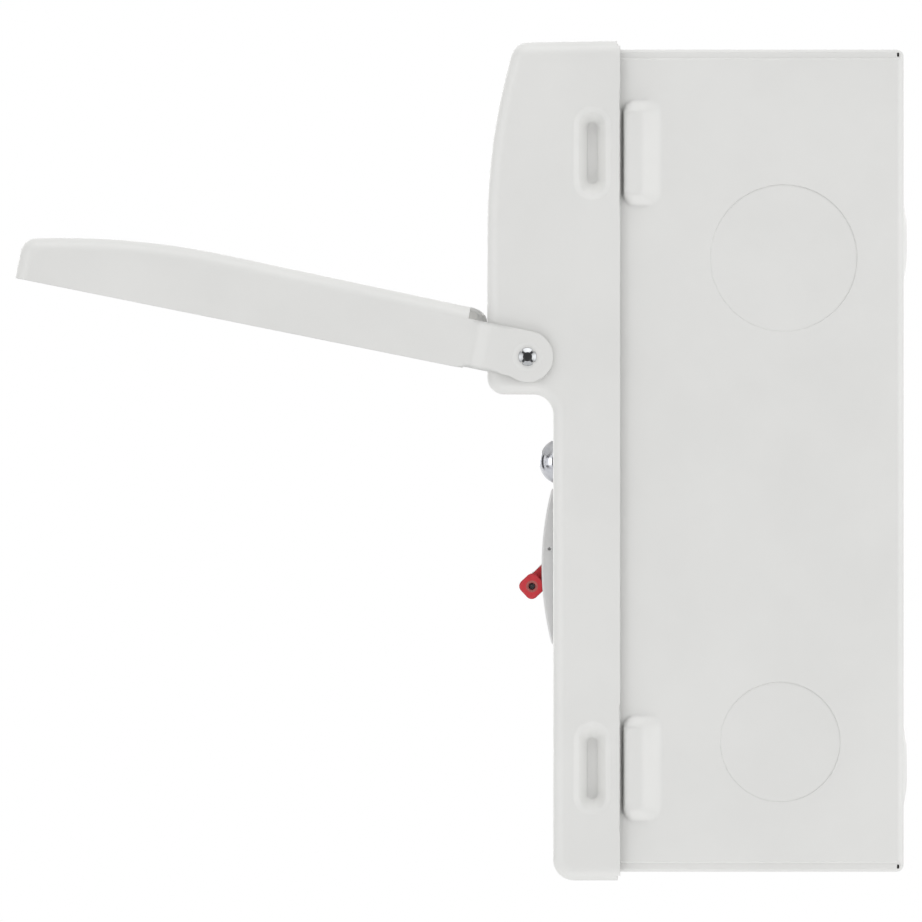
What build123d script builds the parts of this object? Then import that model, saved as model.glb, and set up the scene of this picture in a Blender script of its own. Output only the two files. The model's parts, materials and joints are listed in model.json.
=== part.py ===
from build123d import *
import os
from math import asin, cos, degrees, radians, sin, sqrt

# A small steel consumer unit with its lid open: folded back box, drawn front cover, hinged lid,
# a double-pole main switch and a row of single-pole breakers on a top-hat rail.
# Millimetres. +X is to the right seen from the front, +Y goes into the wall and +Z is up.
# The origin is on the wall, in the middle of the four wall fixings.
# A depth is a distance forward of the wall, so a point at depth d has Y = -d.

# Wall fixings and the pads pressed round them
fixing_spacing_x = 160.0
fixing_spacing_z = 150.0
fixing_hole_diameter = 5.5
pad_diameter = 25.0
pad_crest_diameter = 12.0
pad_height = 1.0

# Casing
unit_mid_z = 12.5
cover_width = 220.0
cover_height = 240.0
cover_sheet = 1.0
cover_gap = 1.5
cover_skirt = 19.2
cover_edge_radius = 3.8
cover_bottom_radius = 6.0
cover_top_radius = 5.0
cover_top_draft = 0.5
skirt_relief = 0.8
skirt_relief_height = 1.4
hump_front_depth = 120.0
hump_projection = 18.8
hump_height = 101.1
hump_arc_rise = 52.7
hump_arc_radius = 180.0
hump_corner_radius = 4.8
hump_root_radius = 5.7
hump_land = 0.2

# Back box
box_sheet = 1.2
box_setback = 11.2
box_bend_radius = 2.0
seam_inset = 2.9
seam_bevel = 0.4
seam_step = 0.4
relief_width = 0.6
relief_length = 1.1
relief_inset = 1.5
relief_depth = 2.6

# Side dimples of the cover and side embosses of the box
dimple_offset_z = 87.9
dimple_rear_gap = 8.0
dimple_length = 27.0
dimple_width = 10.8
dimple_lip_width = 1.7
dimple_lip_depth = 0.7
dimple_floor_length = 17.6
dimple_floor_width = 2.8
dimple_depth = 4.4
dimple_clearance = 0.5
emboss_length = 30.4
emboss_width = 11.3
emboss_radius = 3.8
emboss_crest_length = 23.4
emboss_crest_width = 4.6
emboss_crest_radius = 1.4
emboss_crest_shift = 2.6
emboss_front_gap = 0.6
emboss_clearance = 0.1
emboss_taper = 0.6

# Half-sheared knockouts; those in the sides lean a little, sheared deeper toward the top and rear
knockout_step = 0.15
knockout_lean = 0.0025
upper_knockout_diameter = 42.0
upper_knockout_depth = 35.3
upper_knockout_rise = 57.9
lower_knockout_diameter = 34.3
lower_knockout_depth = 36.3
lower_knockout_drop = 80.4
end_knockout_diameter = 25.0
end_knockout_pitch = 58.0
end_knockout_count = 3
end_knockout_depth = 42.0
rear_knockout_width = 64.0
rear_knockout_height = 32.0
rear_knockout_radius = 8.0
rear_knockout_inset = 28.0

# Hinge and lid
hinge_setback = 11.5
hinge_above_underside = 10.8
lid_open_angle = 101.4
lid_sheet = 1.0
lid_side_inset = 0.3
lid_bottom_margin = 1.7
lid_edge_gap = 0.4
lid_nose_gap = 0.3
lid_nose_radius = 4.0
lid_nose_lip = 4.5
lid_nose_inset = 5.5
lid_cheek_inset = 12.0
lid_notch = 18.7
lid_face_taper = 0.9
lid_arc_length = 55.5
lid_arc_radius = 225.0
lid_tip_radius = 4.5
lid_edge_radius = 3.8
arm_eye_radius = 7.4
arm_waist = 6.4
arm_neck_radius = 6.0
arm_root = 26.0
arm_gap = 0.4
arm_joggle_start = 15.4
arm_joggle_end = 11.6
arm_bend_radius = 1.5
arm_dish_diameter = 8.6
arm_dish_floor = 6.4
arm_dish_depth = 0.4

# Hinge rivets
rivet_shank_diameter = 4.0
rivet_fit = 0.06
rivet_head_diameter = 8.0
rivet_head_height = 1.2
rivet_flare_diameter = 5.2
rivet_flare_height = 0.7
rivet_flare_gap = 0.1
rivet_bore_diameter = 2.6
rivet_bore_depth = 3.0
rivet_slit_width = 0.7
rivet_slit_angles = (45.0, -45.0)

# Cover screws and the lugs they go into
screw_side_inset = 22.0
screw_below_hump = 19.2
screw_head_diameter = 12.0
screw_head_height = 4.1
screw_head_rim = 0.4
screw_shank_diameter = 4.8
screw_length = 21.0
screw_slot_width = 1.5
screw_slot_depth = 1.8
screw_slot_angle = 90.0
screw_fit = 0.1
lug_sheet = 2.0
lug_height = 20.0
lug_flange = 22.0
lug_front_gap = 4.0
lug_reach = 8.0

# Modular devices
module_pitch = 17.5
breaker_count = 6
switch_modules = 2
device_gap = 0.2
device_drop = 30.4
device_height = 84.0
device_depth = 60.6
device_corner = 2.5
nose_height = 45.0
nose_projection = 3.4
nose_depth = 16.6
nose_arc_radius = 88.0
nose_corner_radius = 1.2
nose_edge_chamfer = 0.5
aperture_gap = 0.5

# Top-hat rail and the way devices hook on it
rail_height = 35.0
rail_hat_height = 25.0
rail_depth = 7.5
rail_sheet = 1.0
rail_overhang = 13.0
hook_lip = 3.0
hook_reach = 2.3
hook_clearance = 0.2
clip_width = 8.6
clip_thickness = 1.8
clip_tail = 4.5
clip_tail_slot_width = 4.0
clip_tail_slot_height = 1.4

# Toggles
toggle_pivot_setback = 8.7
toggle_pivot_rise = 5.0
toggle_off_angle = 43.0
drum_radius = 7.6
drum_clearance = 0.3
lever_thickness = 5.2
lever_clearance = 0.4
slot_reach = 20.0
switch_drum_width = 16.0
switch_bar_width = 27.0
switch_bar_size = 6.3
switch_bar_radius = 1.9
switch_bar_reach = 15.7
switch_bar_hole_diameter = 2.0
switch_bar_hole_depth = 9.0
bar_seat_clearance = 0.3
switch_pip_diameter = 0.9
switch_pip_depth = 1.0
switch_pip_setback = 2.2
breaker_drum_width = 8.0
breaker_paddle_size = 5.4
breaker_paddle_radius = 1.6
breaker_paddle_reach = 14.6

# Terminals of the devices
terminal_offset = 22.0
cage_width = 9.6
cage_thickness = 8.6
cage_height = 10.0
cage_wall = 1.4
cage_clearance = 0.2
cage_recess = 1.0
terminal_screw_diameter = 5.6
terminal_screw_length = 16.0
terminal_slot_width = 1.2
terminal_slot_depth = 1.4
terminal_access_diameter = 6.6
terminal_screw_inset = 6.0

# Busbar comb and its insulating channel
bar_thickness = 2.0
bar_height = 10.0
bar_drop = 8.0
finger_width = 5.0
finger_insertion = 9.0
shroud_wall = 2.0
shroud_end = 3.0

# Neutral and earth bars
bar_pitch = 14.0
bar_end = 11.0
bar_post_inset = 5.0
bar_side_gap = 7.0
bar_middle_gap = 10.0
bar_section_depth = 9.0
bar_section_height = 8.0
bar_middle_depth = 40.0
bar_rise = 45.0
bar_hole_diameter = 5.0
bar_screw_diameter = 4.0
bar_screw_height = 3.0
bar_fixing_head_diameter = 7.0
bar_screw_grip = 8.0
post_size = 10.0
post_chamfer = 1.2
standoff_across_flats = 9.0
standoff_sides = 6

# Rail brackets
bracket_sheet = 1.5
bracket_width = 18.0
bracket_foot = 12.0
rail_screw_head_diameter = 9.0
rail_screw_head_height = 2.6
rail_screw_diameter = 4.8
rail_screw_length = 9.0

# Sides of small rounds that stay out of sight
round_sides = 12

# Neutral link
link_diameter = 6.0
link_bend_radius = 11.0
link_start_gap = 3.0
link_drop = 18.0
link_lead_in = 16.0
core_diameter = 4.4
core_blade_width = 5.0

# Worked-out places
half_width = cover_width / 2
cover_front_depth = hump_front_depth - hump_projection
cover_rear_depth = cover_front_depth - cover_skirt
box_front_depth = cover_front_depth - box_setback
cover_top_z = unit_mid_z + cover_height / 2
cover_bottom_z = unit_mid_z - cover_height / 2
box_inset = cover_sheet + cover_gap
box_width = cover_width - 2 * box_inset
box_height = cover_height - 2 * box_inset
box_half = box_width / 2
box_inside = box_half - box_sheet
box_top_z = cover_top_z - box_inset
box_bottom_z = cover_bottom_z + box_inset
panel_depth = pad_height + box_sheet
hump_underside_z = cover_top_z - hump_height
hinge_depth = hump_front_depth - hinge_setback
hinge_z = hump_underside_z + hinge_above_underside
screw_x = half_width - screw_side_inset
screw_z = hump_underside_z - screw_below_hump
dimple_middle_depth = cover_rear_depth + dimple_rear_gap
device_z = unit_mid_z - device_drop
row_width = (breaker_count + switch_modules) * module_pitch
row_left = -row_width / 2
nose_crest_depth = cover_front_depth + nose_projection
device_shoulder_depth = nose_crest_depth - nose_depth
rail_front_depth = nose_crest_depth - device_depth
terminal_depth = rail_front_depth + terminal_offset
toggle_pivot_depth = nose_crest_depth - toggle_pivot_setback
nose_edge_depth = nose_crest_depth - nose_arc_radius + sqrt(nose_arc_radius**2 - (nose_height / 2) ** 2)
device_back_depth = rail_front_depth - hook_lip
rail_back_depth = rail_front_depth - rail_depth
toggle_pivot_z = device_z + toggle_pivot_rise
cage_front_depth = terminal_depth + cage_thickness / 2
cage_back_depth = terminal_depth - cage_thickness / 2
clamp_depth = cage_back_depth + cage_wall
terminal_screw_offset = device_height / 2 - terminal_screw_inset
switch_x = row_left + breaker_count * module_pitch + switch_modules * module_pitch / 2
switch_poles = [switch_x - module_pitch / 2, switch_x + module_pitch / 2]
breaker_x = [row_left + (number + 0.5) * module_pitch for number in range(breaker_count)]
sides = (1, -1)
ends = (1, -1)
bar_z = unit_mid_z + bar_rise
bar_outer_x = box_inside - bar_side_gap
bar_length = bar_outer_x - bar_middle_gap / 2
bar_centre_x = bar_outer_x - bar_length / 2
bar_terminals = int((bar_length - 2 * bar_end) / bar_pitch) + 1
bar_terminal_x = [bar_outer_x - bar_end - place * bar_pitch for place in range(bar_terminals)]
bar_fixing_x = [bar_outer_x - bar_post_inset, bar_outer_x - bar_length + bar_post_inset]

# Lid directions: u runs from the hinge to the tip and w out through the lid's face
lid_lift = radians(lid_open_angle - 90)
hinge_point = (0, -hinge_depth, hinge_z)
lid_u = (0, -cos(lid_lift), sin(lid_lift))
lid_w = (0, sin(lid_lift), cos(lid_lift))
lid_side = Plane(origin=hinge_point, x_dir=lid_u, z_dir=(-1, 0, 0))
lid_plan = Plane(origin=hinge_point, x_dir=lid_u, z_dir=lid_w)

os.makedirs("parts", exist_ok=True)


def write(piece, name):
    """Label a finished piece and write it to its own file."""
    piece.part.label = name
    export_step(piece.part, f"parts/{name}.step")


def section_plane(x, z):
    """Plane seen from the left: local x is the depth and local y the height above z."""
    return Plane(origin=(x, 0, z), x_dir=(0, -1, 0), z_dir=(-1, 0, 0))


def side_plane(side, x):
    """Plane on the right (side 1) or left (side -1) at a distance x, facing outward."""
    return Plane(origin=(side * x, 0, 0), x_dir=(0, side, 0), z_dir=(side, 0, 0))


def on_side(side, depth, z):
    """Place on a side plane."""
    return (-side * depth, z)


def front_plane(depth):
    """Plane facing forward at a depth: local x is X and local y is Z."""
    return Plane.XZ.offset(depth)


def level_plane(z):
    """Plane facing up at a height: local x is X and local y is Y."""
    return Plane.XY.offset(z)


def small_shaft(diameter):
    """Small round shaft that stays out of sight, drawn with few sides."""
    RegularPolygon(diameter / 2, round_sides)


def small_hole(diameter, mode=Mode.ADD):
    """Small round hole that stays out of sight, with its flats clear of the diameter."""
    RegularPolygon(diameter / 2, round_sides, major_radius=False, mode=mode)


def dimple_places(x):
    """Places of the four side dimples at a distance x from the middle, each facing outward."""
    turn = {1: 0, -1: 180}
    return [
        Location((side * x, -dimple_middle_depth, unit_mid_z + end * dimple_offset_z), (0, 0, turn[side]))
        for side in sides
        for end in ends
    ]


# Pressed wall pad: a shallow cone with a flat crest, which also shapes the hollow behind it
with BuildPart() as wall_pad:
    with BuildSketch(section_plane(0, 0)):
        with BuildLine():
            Polyline(
                (0, 0),
                (0, pad_crest_diameter / 2),
                (pad_height, pad_diameter / 2),
                (pad_height, 0),
                close=True,
            )
        make_face()
    revolve(axis=Axis.Y)

# Back box
with BuildPart() as back_box:
    with BuildSketch(front_plane(pad_height)):
        with Locations((0, unit_mid_z)):
            Rectangle(box_width, box_height)
    extrude(amount=box_front_depth - pad_height)
    back_edges = back_box.faces().sort_by(Axis.Y)[-1].edges()
    fillet(back_edges + back_box.edges().filter_by(Axis.Y), box_bend_radius)
    with BuildSketch(front_plane(panel_depth)):
        with Locations((0, unit_mid_z)):
            RectangleRounded(
                box_width - 2 * box_sheet, box_height - 2 * box_sheet, box_bend_radius - box_sheet
            )
    extrude(amount=box_front_depth - panel_depth, mode=Mode.SUBTRACT)

    pad_places = [
        (x * fixing_spacing_x / 2, 0, z * fixing_spacing_z / 2) for x in sides for z in sides
    ]
    with Locations(*pad_places):
        add(wall_pad.part)
    with Locations(*[(x, -box_sheet, z) for x, y, z in pad_places]):
        add(wall_pad.part, mode=Mode.SUBTRACT)
    with BuildSketch(front_plane(0)):
        with GridLocations(fixing_spacing_x, fixing_spacing_z, 2, 2):
            Circle(fixing_hole_diameter / 2)
    extrude(amount=2 * panel_depth, mode=Mode.SUBTRACT)

    emboss_height = box_inset - emboss_clearance
    emboss_depth = cover_rear_depth - emboss_front_gap - emboss_width / 2
    for side in sides:
        outside = side_plane(side, box_half)
        emboss_places = [
            (emboss_depth, unit_mid_z + dimple_offset_z),
            (emboss_depth, unit_mid_z - dimple_offset_z),
        ]
        for depth, z in emboss_places:
            with BuildSketch(outside):
                with Locations(on_side(side, depth, z)):
                    RectangleRounded(emboss_width, emboss_length, emboss_radius)
            with BuildSketch(outside.offset(emboss_height)):
                with Locations(on_side(side, depth + emboss_crest_shift, z)):
                    RectangleRounded(emboss_crest_width, emboss_crest_length, emboss_crest_radius)
            loft(ruled=True)
            with BuildSketch(outside.offset(-box_sheet)):
                with Locations(on_side(side, depth, z)):
                    RectangleRounded(
                        emboss_width - emboss_taper, emboss_length - emboss_taper, emboss_radius
                    )
            with BuildSketch(outside.offset(emboss_height - box_sheet)):
                with Locations(on_side(side, depth + emboss_crest_shift, z)):
                    RectangleRounded(
                        emboss_crest_width - emboss_taper,
                        emboss_crest_length - emboss_taper,
                        emboss_crest_radius,
                    )
            loft(ruled=True, mode=Mode.SUBTRACT)

        side_knockouts = [
            (upper_knockout_depth, upper_knockout_rise, upper_knockout_diameter),
            (lower_knockout_depth, -lower_knockout_drop, lower_knockout_diameter),
        ]
        for depth, rise, diameter in side_knockouts:
            centre = (side * (box_half - knockout_step), -depth, unit_mid_z + rise)
            with BuildSketch(Plane(centre, z_dir=(side, knockout_lean, knockout_lean))):
                Circle(diameter / 2)
            extrude(amount=box_inset, mode=Mode.SUBTRACT)

        # The side panel stands a little proud of the lips folded down from the top and bottom
        for end in ends:
            for inward, inset in ((0, seam_inset), (seam_step, seam_inset - seam_bevel)):
                with BuildSketch(outside.offset(-inward)):
                    with Locations((0, unit_mid_z + end * box_height / 2)):
                        Rectangle(2 * box_front_depth, 2 * inset)
            loft(ruled=True, mode=Mode.SUBTRACT)
        with BuildSketch(outside):
            for end in ends:
                relief_z = unit_mid_z + end * (box_height / 2 - relief_inset)
                with Locations(on_side(side, relief_depth, relief_z)):
                    Rectangle(relief_width, relief_length)
        extrude(amount=-2 * box_sheet, mode=Mode.SUBTRACT)

    # Notches in the front edges of the sides, which the cover's dimples drop into
    notch_back = dimple_middle_depth - dimple_width / 2 - dimple_clearance
    with BuildSketch(front_plane(box_front_depth)):
        for end in ends:
            with Locations((0, unit_mid_z + end * dimple_offset_z)):
                Rectangle(box_width, dimple_length + 2 * dimple_clearance)
    extrude(amount=notch_back - box_front_depth, mode=Mode.SUBTRACT)

    for end in ends:
        with BuildSketch(level_plane(unit_mid_z + end * box_height / 2)):
            with Locations((0, -end_knockout_depth)):
                with GridLocations(end_knockout_pitch, 0, end_knockout_count, 1):
                    Circle(end_knockout_diameter / 2)
        extrude(amount=-end * knockout_step, mode=Mode.SUBTRACT)
    with BuildSketch(front_plane(pad_height)):
        for z in (box_top_z - rear_knockout_inset, box_bottom_z + rear_knockout_inset):
            with Locations((0, z)):
                RectangleRounded(rear_knockout_width, rear_knockout_height, rear_knockout_radius)
    extrude(amount=knockout_step, mode=Mode.SUBTRACT)
write(back_box, "back_box")

# Long dimple pressed into the cover's sides: a rolled lip, sloping flanks and a narrow floor
with BuildPart() as side_dimple:
    dimple_stages = [
        (0, dimple_length, dimple_width),
        (dimple_lip_depth, dimple_length - 2 * dimple_lip_width, dimple_width - 2 * dimple_lip_width),
        (dimple_depth, dimple_floor_length, dimple_floor_width),
    ]
    for depth, length, width in dimple_stages:
        with BuildSketch(Plane.YZ.offset(-depth)):
            SlotOverall(length, width, rotation=90)
    loft(ruled=True)

# Front cover: one drawn shell with the projecting hump
hump_root_room = hump_projection - hump_corner_radius - hump_land
hump_top_z = cover_top_z - cover_top_draft
hump_arc_z = hump_top_z - hump_arc_rise
hump_arc_angle = degrees(asin(hump_arc_rise / hump_arc_radius))
hump_top_depth = hump_front_depth - hump_arc_radius + sqrt(hump_arc_radius**2 - hump_arc_rise**2)
with BuildPart() as front_cover:
    with BuildSketch(section_plane(0, 0)) as cover_profile:
        with BuildLine():
            JernArc((hump_front_depth, hump_arc_z), (0, 1), hump_arc_radius, hump_arc_angle)
            Polyline(
                (hump_top_depth, hump_top_z),
                (cover_rear_depth, cover_top_z),
                (cover_rear_depth, cover_bottom_z),
                (cover_front_depth, cover_bottom_z),
                (cover_front_depth, hump_underside_z),
                (hump_front_depth, hump_underside_z),
                (hump_front_depth, hump_arc_z),
            )
        make_face()
        corners = [
            ((hump_top_depth, hump_top_z), cover_top_radius),
            ((cover_front_depth, cover_bottom_z), cover_bottom_radius),
            ((cover_front_depth, hump_underside_z), min(hump_root_radius, hump_root_room)),
            ((hump_front_depth, hump_underside_z), hump_corner_radius),
        ]
        for place, radius in corners:
            fillet(cover_profile.vertices().sort_by_distance(place)[0], radius)
    extrude(amount=half_width, both=True)
    rear_edges = front_cover.faces().sort_by(Axis.Y)[-1].edges()
    side_edges = front_cover.faces().filter_by(Axis.X).edges()
    fillet([edge for edge in side_edges if edge not in rear_edges], cover_edge_radius)
    offset(amount=-cover_sheet, openings=front_cover.faces().sort_by(Axis.Y)[-1])

    with BuildSketch(front_plane(cover_rear_depth)):
        for z in (cover_top_z, cover_bottom_z):
            with Locations((0, z)):
                Rectangle(cover_width, 2 * skirt_relief_height)
    extrude(amount=skirt_relief, mode=Mode.SUBTRACT)

    with Locations(*dimple_places(half_width - cover_sheet)):
        add(side_dimple.part)
    with Locations(*dimple_places(half_width)):
        add(side_dimple.part, mode=Mode.SUBTRACT)
    for side in sides:
        with BuildSketch(side_plane(side, half_width)):
            with Locations(on_side(side, hinge_depth, hinge_z)):
                Circle(rivet_shank_diameter / 2 + rivet_fit)
        extrude(amount=-2 * cover_sheet, mode=Mode.SUBTRACT)

    with BuildSketch(front_plane(cover_front_depth)):
        with Locations((0, device_z)):
            Rectangle(row_width + 2 * aperture_gap, nose_height + 2 * aperture_gap)
        for side in sides:
            with Locations((side * screw_x, screw_z)):
                Circle(screw_shank_diameter / 2 + screw_fit)
    extrude(amount=-2 * cover_sheet, mode=Mode.SUBTRACT)
write(front_cover, "front_cover")

# Lid, built at its open angle
lid_half = half_width - lid_side_inset
lid_edge_w = cover_front_depth + lid_edge_gap - hinge_depth
lid_face_w = hump_front_depth - hinge_depth
lid_hinge_face_w = lid_face_w - lid_face_taper
lid_tip_u = hinge_z - cover_bottom_z - lid_bottom_margin
lid_nose_u = (lid_face_w + lid_nose_gap + lid_hinge_face_w * sin(lid_lift)) / cos(lid_lift)
lid_arc_u = lid_tip_u - lid_arc_length
lid_arc_angle = degrees(asin(lid_arc_length / lid_arc_radius))
lid_tip_w = lid_face_w - lid_arc_radius + sqrt(lid_arc_radius**2 - lid_arc_length**2)

arm_inside = half_width + arm_gap
arm_outside = arm_inside + lid_sheet
arm_middle = arm_inside + lid_sheet / 2
wall_middle = lid_half - lid_sheet / 2
with BuildPart() as lid_arms:
    with BuildSketch(lid_plan):
        with BuildLine():
            FilletPolyline(
                (arm_root, wall_middle),
                (arm_joggle_start, wall_middle),
                (arm_joggle_end, arm_middle),
                (-arm_eye_radius - lid_sheet, arm_middle),
                radius=arm_bend_radius,
            )
        trace(line_width=lid_sheet)
    extrude(amount=2 * arm_eye_radius, both=True)
    with BuildSketch(lid_side) as arm_profile:
        Circle(arm_eye_radius)
        with Locations((arm_root / 2, (arm_eye_radius - arm_waist) / 2)):
            Rectangle(arm_root, arm_eye_radius + arm_waist)
        neck_place = (sqrt(arm_eye_radius**2 - arm_waist**2), -arm_waist)
        fillet(arm_profile.vertices().sort_by_distance(neck_place)[0], arm_neck_radius)
        Circle(rivet_shank_diameter / 2 + rivet_fit, mode=Mode.SUBTRACT)
    extrude(amount=2 * half_width, both=True, mode=Mode.INTERSECT)
    with BuildSketch(side_plane(1, arm_outside)):
        with Locations(on_side(1, hinge_depth, hinge_z)):
            Circle(arm_dish_diameter / 2)
    with BuildSketch(side_plane(1, arm_outside - arm_dish_depth)):
        with Locations(on_side(1, hinge_depth, hinge_z)):
            Circle(arm_dish_floor / 2)
    loft(mode=Mode.SUBTRACT)
    mirror(about=Plane.YZ)

with BuildSketch(lid_side) as lid_profile:
    with BuildLine():
        JernArc((lid_arc_u, lid_face_w), (1, 0), lid_arc_radius, -lid_arc_angle)
        Polyline(
            (lid_tip_u, lid_tip_w),
            (lid_tip_u, lid_edge_w),
            (lid_nose_u, lid_edge_w),
            (lid_nose_u, lid_hinge_face_w),
            (lid_arc_u, lid_face_w),
        )
    make_face()
    fillet(lid_profile.vertices().sort_by_distance((lid_tip_u, lid_tip_w))[0], lid_tip_radius)
    fillet(lid_profile.vertices().sort_by_distance((lid_nose_u, lid_hinge_face_w))[0], lid_nose_radius)

# Cheeks that close the ends of the lid's nose
nose_lip_w = lid_hinge_face_w - lid_nose_lip
with BuildPart() as lid_cheeks:
    extrude(lid_profile.sketch, amount=lid_half - lid_cheek_inset, both=True)
    extrude(
        lid_profile.sketch,
        amount=lid_half - lid_cheek_inset - lid_sheet,
        both=True,
        mode=Mode.SUBTRACT,
    )
    with BuildSketch(lid_side):
        with Locations((lid_notch, nose_lip_w)):
            Rectangle(lid_notch, lid_face_w, align=(Align.MAX, Align.MIN))
    extrude(amount=half_width, both=True, mode=Mode.INTERSECT)

with BuildPart() as lid:
    extrude(lid_profile.sketch, amount=lid_half, both=True)
    lid_w_axis = Axis(hinge_point, lid_w)
    rim_edges = lid.faces().sort_by(lid_w_axis)[0].edges()
    side_edges = lid.faces().filter_by(Axis.X).edges()
    fillet([edge for edge in side_edges if edge not in rim_edges], lid_edge_radius)
    offset(amount=-lid_sheet, openings=lid.faces().sort_by(lid_w_axis)[0])

    clear_w = lid_edge_w - lid_sheet
    with BuildSketch(lid_side):
        with Locations((lid_notch, clear_w)):
            Rectangle(
                lid_notch, nose_lip_w - clear_w, align=(Align.MAX, Align.MIN)
            )
    extrude(amount=cover_width, both=True, mode=Mode.SUBTRACT)
    with BuildSketch(lid_plan.offset(nose_lip_w)):
        for side in sides:
            with Locations((0, side * (lid_half - lid_nose_inset / 2))):
                Rectangle(lid_notch, lid_nose_inset, align=(Align.MIN, Align.CENTER))
    extrude(amount=lid_face_w, mode=Mode.SUBTRACT)
    add(lid_cheeks.part)
    add(lid_arms.part)
write(lid, "lid")

# Hinge rivets: headed inside the hump, slit in four and flared over the dish of each arm
flare_seat = arm_outside - arm_dish_depth + rivet_flare_gap
rivet_end = flare_seat + rivet_flare_height
head_seat = half_width - cover_sheet
with BuildPart() as hinge_rivets:
    rivet_axis = Plane(origin=hinge_point, x_dir=(1, 0, 0), z_dir=(0, -1, 0))
    with BuildSketch(rivet_axis):
        with BuildLine():
            Polyline(
                (head_seat - rivet_head_height, 0),
                (head_seat - rivet_head_height, rivet_head_diameter / 2),
                (head_seat, rivet_head_diameter / 2),
                (head_seat, rivet_shank_diameter / 2),
                (flare_seat, rivet_shank_diameter / 2),
                (flare_seat, rivet_flare_diameter / 2),
                (rivet_end, rivet_bore_diameter / 2),
                (rivet_end - rivet_bore_depth, rivet_bore_diameter / 2),
                (rivet_end - rivet_bore_depth, 0),
                close=True,
            )
        make_face()
    revolve(axis=Axis(hinge_point, (1, 0, 0)))
    with BuildSketch(side_plane(1, rivet_end)):
        with Locations(on_side(1, hinge_depth, hinge_z)):
            for angle in rivet_slit_angles:
                Rectangle(rivet_flare_diameter, rivet_slit_width, rotation=angle)
    extrude(amount=-rivet_flare_height, mode=Mode.SUBTRACT)
    mirror(about=Plane.YZ)
write(hinge_rivets, "hinge_rivets")

# Cover screws: slotted domes
screw_dome_height = screw_head_height - screw_head_rim
screw_dome_radius = ((screw_head_diameter / 2) ** 2 + screw_dome_height**2) / (2 * screw_dome_height)
screw_dome_angle = degrees(asin(screw_head_diameter / 2 / screw_dome_radius))
with BuildPart() as cover_screws:
    for side in sides:
        centre = side * screw_x
        with BuildSketch(Plane(origin=(centre, 0, screw_z), x_dir=(1, 0, 0), z_dir=(0, 0, 1))):
            with BuildLine():
                Polyline(
                    (0, screw_length - cover_front_depth),
                    (screw_shank_diameter / 2, screw_length - cover_front_depth),
                    (screw_shank_diameter / 2, -cover_front_depth),
                    (screw_head_diameter / 2, -cover_front_depth),
                    (screw_head_diameter / 2, -cover_front_depth - screw_head_rim),
                )
                JernArc(
                    (0, -cover_front_depth - screw_head_height), (1, 0), screw_dome_radius, screw_dome_angle
                )
                Line(
                    (0, -cover_front_depth - screw_head_height),
                    (0, screw_length - cover_front_depth),
                )
            make_face()
        revolve(axis=Axis((centre, 0, screw_z), (0, 1, 0)))
        with BuildSketch(front_plane(cover_front_depth + screw_head_height)):
            with Locations((centre, screw_z)):
                Rectangle(screw_head_diameter, screw_slot_width, rotation=side * screw_slot_angle)
        extrude(amount=-screw_slot_depth, mode=Mode.SUBTRACT)
write(cover_screws, "cover_screws")

# Lugs on the box sides that take the cover screws
lug_front_depth = box_front_depth - lug_front_gap
with BuildPart() as cover_brackets:
    for side in sides:
        lug_tip = side * (screw_x - lug_reach)
        wall = side * box_inside
        with BuildSketch(level_plane(screw_z)):
            with BuildLine():
                Polyline(
                    (wall, -lug_front_depth + lug_flange),
                    (wall, -lug_front_depth),
                    (lug_tip, -lug_front_depth),
                    (lug_tip, -lug_front_depth + lug_sheet),
                    (wall - side * lug_sheet, -lug_front_depth + lug_sheet),
                    (wall - side * lug_sheet, -lug_front_depth + lug_flange),
                    close=True,
                )
            make_face()
        extrude(amount=lug_height / 2, both=True)
        with BuildSketch(front_plane(lug_front_depth)):
            with Locations((side * screw_x, screw_z)):
                small_hole(screw_shank_diameter + 2 * screw_fit)
        extrude(amount=-2 * lug_sheet, mode=Mode.SUBTRACT)
write(cover_brackets, "cover_brackets")

# Top-hat rail
rail_length = row_width + 2 * rail_overhang
rail_screw_x = rail_length / 2 - rail_overhang / 2
with BuildPart() as din_rail:
    flange_middle = rail_front_depth - rail_sheet / 2
    web_middle = rail_back_depth + rail_sheet / 2
    hat = rail_hat_height / 2 + rail_sheet / 2
    with BuildSketch(section_plane(0, device_z)):
        with BuildLine():
            Polyline(
                (flange_middle, rail_height / 2),
                (flange_middle, hat),
                (web_middle, hat),
                (web_middle, -hat),
                (flange_middle, -hat),
                (flange_middle, -rail_height / 2),
            )
        trace(line_width=rail_sheet)
    extrude(amount=rail_length / 2, both=True)
    with BuildSketch(front_plane(rail_back_depth)):
        for side in sides:
            with Locations((side * rail_screw_x, device_z)):
                small_hole(rail_screw_diameter + 2 * screw_fit)
    extrude(amount=2 * rail_sheet, mode=Mode.SUBTRACT)
write(din_rail, "din_rail")

# Stand-off brackets under the ends of the rail
with BuildPart() as rail_brackets:
    foot_middle = panel_depth + bracket_sheet / 2
    top_middle = rail_back_depth - bracket_sheet / 2
    leg = hat + rail_sheet / 2
    for side in sides:
        with BuildSketch(section_plane(side * rail_screw_x, device_z)):
            with BuildLine():
                Polyline(
                    (foot_middle, leg + bracket_foot),
                    (foot_middle, leg),
                    (top_middle, leg),
                    (top_middle, -leg),
                    (foot_middle, -leg),
                    (foot_middle, -leg - bracket_foot),
                )
            trace(line_width=bracket_sheet)
        extrude(amount=bracket_width / 2, both=True)
    with BuildSketch(front_plane(rail_back_depth)):
        for side in sides:
            with Locations((side * rail_screw_x, device_z)):
                small_hole(rail_screw_diameter + 2 * screw_fit)
    extrude(amount=-2 * bracket_sheet, mode=Mode.SUBTRACT)
write(rail_brackets, "rail_brackets")

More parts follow.
